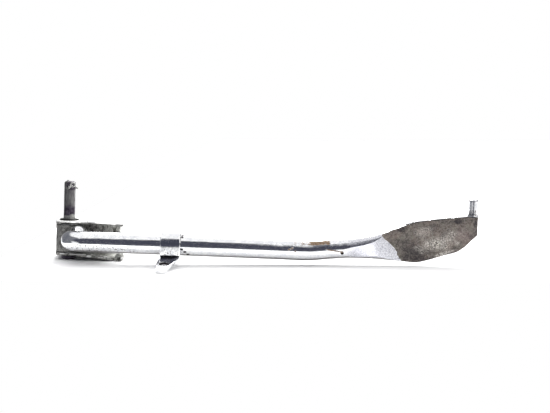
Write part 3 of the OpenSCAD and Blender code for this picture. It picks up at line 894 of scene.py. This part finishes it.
def build_cotter():
    """One wire from the hole round the eye and back through, bent flat behind, and its upper end bent up."""
    high, low, r = SPLIT_Z + 0.75, SPLIT_Z - 0.75, 0.8
    eye = [(4.0 + 1.75 * cos(t), -6.3 + 0.35 * sin(2 * t), 30.6 + 1.6 * sin(t))
           for t in np.radians(np.arange(215, 520, 14))]
    path = [(0.1, 4.5, high), (0.1, 0, high), (0.3, -4.6, 28.85), (1.6, -5.8, 29.3)] + eye
    path += [(1.5, -5.4, 28.2), (0.1, -4.4, 27.4), (0.1, 0, low), (0.1, 4.5, low), (0.6, 5.7, 27.2),
             (2.2, 6.15, 27.2), (4.2, 5.8, 27.2), (5.9, 5.0, 27.2)]
    end = [(0.1, 0, high), (0.1, 4.2, high), (-0.5, 5.6, 29.6), (-1.9, 5.6, 31.6), (-2.7, 4.6, 33.2),
           (-2.8, 3.6, 34.0)]
    wire = bent_wire("cotter_pin_wire", curve(path, 5), r)
    other = bent_wire("cotter_end", curve(end, 6), r)
    cotter = melt("cotter_pin_bent", [wire, other], 0.16)
    relax(cotter, 2)
    mat = plain_metal("wire_steel", (0.20, 0.20, 0.20), (0.52, 0.52, 0.50), 0.9, 0.38)
    place(cotter, "bracket", mat, "cotter_pin", 60)


# ---- spring clamp and peg

def build_clamp():
    x0, w, slope = CLAMP_X, CLAMP_W, radians(TAB_SLOPE)
    across, down = cos(slope), sin(slope)
    # side view of the strap, from its crown over the back and under the bar to the fold, then up the front,
    # whose lower part is flat and leans back a little
    loop = [(STRAP_R * cos(t), 0.6 + (STRAP_R + 0.1 if t < pi else STRAP_R) * sin(t))
            for t in np.radians(np.arange(93, 300, 3))]
    lean = tan(radians(4.5))
    loop += [(11.86 - (-0.6 - z) * lean, z) for z in (-9.9, -9.2, -8.5, -7.5, -6.5, -5.5, -4.5, -3.5, -2.5, -1.5)]
    front_r = STRAP_R - 0.1
    for t in np.radians(np.arange(-3, 91, 3)):
        loop.append((front_r * cos(t), 0.3 + front_r * sin(t) + 0.5 * float(smooth(0.75, 1.57, t))))
    loop = [(-u, z) for u, z in loop[::-1]]
    rim = [(0, 0.6), (0.1, 0.3), (0.3, 0.08), (0.6, 0), (0.9, 0), (1.2, 0), (1.6, 0)]
    layers = rim + [(x, 0) for x in range(3, 15)] + [(w - x, d) for x, d in rim[::-1]]
    clamp = slab("spring_clamp_strap", loop, layers)
    p = points_of(clamp)
    set_points(clamp, np.stack([x0 + p[:, 2], p[:, 0], p[:, 1]], 1))

    def tilt(ob):
        """From the tab's own frame, whose first axis runs down the tab, to the bar's."""
        q = points_of(ob)
        set_points(ob, np.stack([x0 + w / 2 + q[:, 1], -q[:, 0] * across - q[:, 2] * down,
                                 -q[:, 0] * down + q[:, 2] * across], 1))
        turn_outward(ob)
        return ob

    outline = [(5, -8.5), (14, -8.5), (20, -8.7), (28, -8.9), (36.2, -8.95)]
    outline += arc(36.2, -3.5, 5.4, -84, 73, 6) + [(17, 8.5), (5, 8.5)]
    tab = slab("tab", outline, [(-8.0, 0.55), (-7.9, 0.25), (-7.65, 0), (-5.75, 0), (-5.5, 0.25), (-5.4, 0.55)])
    hole_at = (30.6, -2.5, 0)
    hole = [(4.6, -12), (4.35, -8.0), (4.0, -7.6), (4.0, -5.8), (4.35, -5.4), (4.6, -3)]
    turn_outward(clamp)
    boolean(clamp, [tilt(tab)], "UNION")
    boolean(clamp, [lathe("bar_bore", [(BAR_R, 70), (BAR_R, 120)], n=160, axis="X"),
                    tilt(lathe("hook_hole", hole, n=72, at=hole_at))], "DIFFERENCE")
    p = points_of(clamp)
    u, v = -p[:, 1] * across - p[:, 2] * down, p[:, 0] - x0 - w / 2
    # painted shade in the fold, inside the hook hole and along the strap's right edge
    fold = 1 - smooth(0.35, 0.75, np.hypot(p[:, 1] + 11.2, (p[:, 2] + 8.4) * 0.9))
    in_hole = 1 - smooth(4.05, 4.3, np.hypot(u - hole_at[0], v - hole_at[1]))
    edge = smooth(0.7, 0.95, normals_of(clamp)[:, 0]) * smooth(-2.5, 0, p[:, 2]) * (v > w / 2 - 0.8)
    p[:, 1:] += (BAR_Y, MID_Z)
    set_points(clamp, p)
    attribute(clamp, "dirt_and_shade", np.maximum(np.maximum(fold, in_hole), edge))
    z = p[:, 2] - MID_Z
    spots = (p[:, 1] < BAR_Y - 10) * smooth(-8.2, -7.4, z) * smooth(-3.6, -4.6, z)
    attribute(clamp, "spots", spots)
    place(clamp, "leg", chrome_material("strap_chrome"), "spring_clamp", 40)


def build_peg():
    profile = [(0.1, -3.0), (2.45, -3.0), (2.45, 0.0), (4.6, 0.02), (4.55, 0.5), (4.35, 1.1), (4.08, 1.7),
               (PEG_R, 2.4)]
    profile += [(PEG_R, z) for z in np.linspace(3.2, 13.2, 12)]
    profile += [(3.94, 13.8), (3.7, 14.4), (3.3, 14.8), (2.7, 14.97), (0.1, PEG_L)]
    peg = lathe("kick_peg_turned", profile, n=80, at=(PEG_AT[0], PEG_AT[1], MID_Z + PEG_SEAT))
    x, _, z = points_of(peg).T
    attribute(peg, "spots", smooth(17, 18.2, z) * smooth(25.5, 22.5, z) * smooth(355.5, 354, x))
    attribute(peg, "dirt_and_shade", 0.47 * smooth(17.2, 18.5, z) * smooth(25, 22.5, z) * smooth(356.5, 354.5, x))
    place(peg, "leg", chrome_material("peg_chrome", 0.92, 0.17), "kick_peg", 45)


# ---- stage

def camera():
    cam = bpy.data.objects.new("camera", bpy.data.cameras.new("camera"))
    bpy.context.collection.objects.link(cam)
    cam.data.sensor_width = 36
    cam.data.lens = 53.6
    cam.data.clip_start = 0.01
    pitch, roll = radians(3.78), radians(2.2)
    cam.matrix_world = (Matrix.Translation((183 * MM, -728 * MM, 65.9 * MM))
                        @ Matrix.Rotation(radians(90) - pitch, 4, "X") @ Matrix.Rotation(roll, 4, "Z"))
    bpy.context.scene.camera = cam


def floor():
    """A pale table, parallel to the plane of the stand's three lowest points and a little below it.

    They are on the pin's head, the clamp's tab and the foot."""
    a, b, c = Vector((-2, -5, -36.0)), Vector((93, -66.5, -36.2)), Vector((305, -33.5, -27.0))
    normal = (b - a).cross(c - a).normalized()
    if normal.z < 0:
        normal = -normal

    def on_plane(x, y):
        return (x * MM, y * MM, (a.z - (normal.x * (x - a.x) + normal.y * (y - a.y)) / normal.z) * MM)

    # its front and left edges are near the stand, so that the dark room beyond them shows in the chrome
    ob = mesh("floor", np.array([on_plane(-60, -93), on_plane(2300, -93), on_plane(2300, 2500),
                                 on_plane(-60, 2500)]) / MM, [(0, 1, 2, 3)])
    s = Shader("pale_table")
    t = s.noise(60.0, 3.0)
    s.finish(s.mix(t, (0.90, 0.90, 0.90), (0.94, 0.94, 0.94)), 0.8, 0.0, s.bump(s.noise(3.0, 2.0), 0.02))
    s.out.inputs["Specular IOR Level"].default_value = 0.2
    ob.data.materials.append(s.material)


def studio():
    """A white studio with one dark opening in front, which the chrome shows as its dark band."""
    world = bpy.data.worlds.new("studio")
    bpy.context.scene.world = world
    world.use_nodes = True
    w = Nodes(world.node_tree)
    w.tree.nodes.clear()

    def along(v, stops):
        """A value that follows v through the (v, value) stops."""
        lo, hi = stops[0][0], stops[-1][0]
        t = w.add("MapRange", {"Value": v, "From Min": lo, "From Max": hi}).outputs[0]
        ramp = w.add("ValToRGB", {"Fac": t})
        e = ramp.color_ramp.elements
        while len(e) < len(stops):
            e.new(0.5)
        for el, (at, value) in zip(e, stops):
            el.position = (at - lo) / (hi - lo)
            el.color = (value / 2 + 0.5,) * 3 + (1,)
        return w.math("SUBTRACT", w.times(ramp.outputs[0], 2.0), 1.0)

    direction = w.add("TexCoord").outputs["Generated"]
    split = w.add("SeparateXYZ", {0: direction})
    x, y, z = split.outputs
    level = w.math("SQRT", w.math("ADD", w.times(x, x), w.times(y, y)))
    side = w.math("DIVIDE", x, w.math("MAXIMUM", level, 0.001))
    # the dark opening in front: its lower and upper edges, as z against the side
    low = along(side, [(-1.0, -0.03), (-0.50, -0.03), (-0.32, -0.22), (-0.26, -0.36), (-0.19, -0.32), (-0.155, -0.27),
                       (-0.12, -0.23), (-0.09, -0.20), (-0.028, -0.16), (0.02, -0.22), (0.10, -0.18), (0.17, 0.0),
                       (1.0, 0.12)])
    high = along(side, [(-1.0, 0.35), (-0.4, 0.5), (-0.19, 0.86), (-0.115, 0.80), (-0.07, 0.87), (-0.02, 0.83),
                        (0.015, 0.70), (0.03, 0.62), (0.08, 0.50), (0.25, 0.36), (1.0, 0.30)])
    wob = w.add("TexNoise", {"Vector": direction, "Scale": 7.0, "Detail": 4.0}).outputs["Fac"]
    zz = w.math("ADD", z, w.times(w.math("SUBTRACT", wob, 0.5), 0.06))
    over, under = w.math("SUBTRACT", zz, low), w.math("SUBTRACT", high, zz)
    dark = w.times(w.map(over, -0.015, 0.02), w.map(under, -0.02, 0.05), w.map(y, 0.10, -0.10),
                   w.map(x, -0.80, -0.50))
    # a dark wall behind, and a grey one to the left, for the elbow
    behind = w.times(w.map(y, 0.0, 0.25), w.map(z, -0.04, 0.05), w.map(z, 0.80, 0.50), 0.85)
    left_front = w.math("MAXIMUM", w.map(y, -0.66, -0.50), w.map(z, -0.02, 0.06))
    left = w.times(w.map(x, -0.22, -0.45), w.map(y, 0.80, 0.55), left_front, w.map(z, -0.36, -0.28),
                   w.map(z, 0.72, 0.58))
    color = w.mix(behind, (1.0, 1.0, 1.0), (0.09, 0.092, 0.105))
    color = w.mix(left, color, (0.16, 0.165, 0.185))
    color = w.mix(dark, color, w.mix(wob, (0.022, 0.024, 0.038), (0.085, 0.088, 0.12)))
    # the camera itself sees plain white
    seen = w.add("LightPath").outputs["Is Camera Ray"]
    color = w.mix(seen, color, (1, 1, 1))
    strength = w.math("ADD", 1.1, w.times(w.add("LightPath").outputs["Is Diffuse Ray"], 0.75))
    strength = w.blend(seen, strength, 1.0)
    background = w.add("Background", {"Color": color, "Strength": strength})
    w.add("OutputWorld", {0: background.outputs[0]})

    lamp = bpy.data.objects.new("soft_key", bpy.data.lights.new("soft_key", "AREA"))
    bpy.context.collection.objects.link(lamp)
    lamp.data.shape = "RECTANGLE"
    lamp.data.size, lamp.data.size_y = 0.5, 0.35
    lamp.data.energy = 9.0
    lamp.location = (120 * MM, 420 * MM, 620 * MM)
    lamp.rotation_euler = (Vector((150, -20, -20)) * MM - lamp.location).to_track_quat("-Z", "Y").to_euler()


for build in (camera, build_leg, build_bracket, build_pin, build_washer, build_cotter, build_clamp, build_peg):
    build()
# the four hidden pieces keep their CAD mesh
shim = plain_metal("shim_steel", (0.30, 0.30, 0.30), (0.52, 0.52, 0.51), 1.5, 0.3)
bronze = plain_metal("bronze", (0.28, 0.17, 0.07), (0.55, 0.36, 0.17), 1.1, 0.42)
for name, material in (("thrust_washer", shim), ("bush", bronze)):
    for which in ("upper_", "lower_"):
        nodes[which + name].data.materials.clear()
        nodes[which + name].data.materials.append(material)
floor()
studio()
bpy.context.scene.view_settings.view_transform = "Standard"
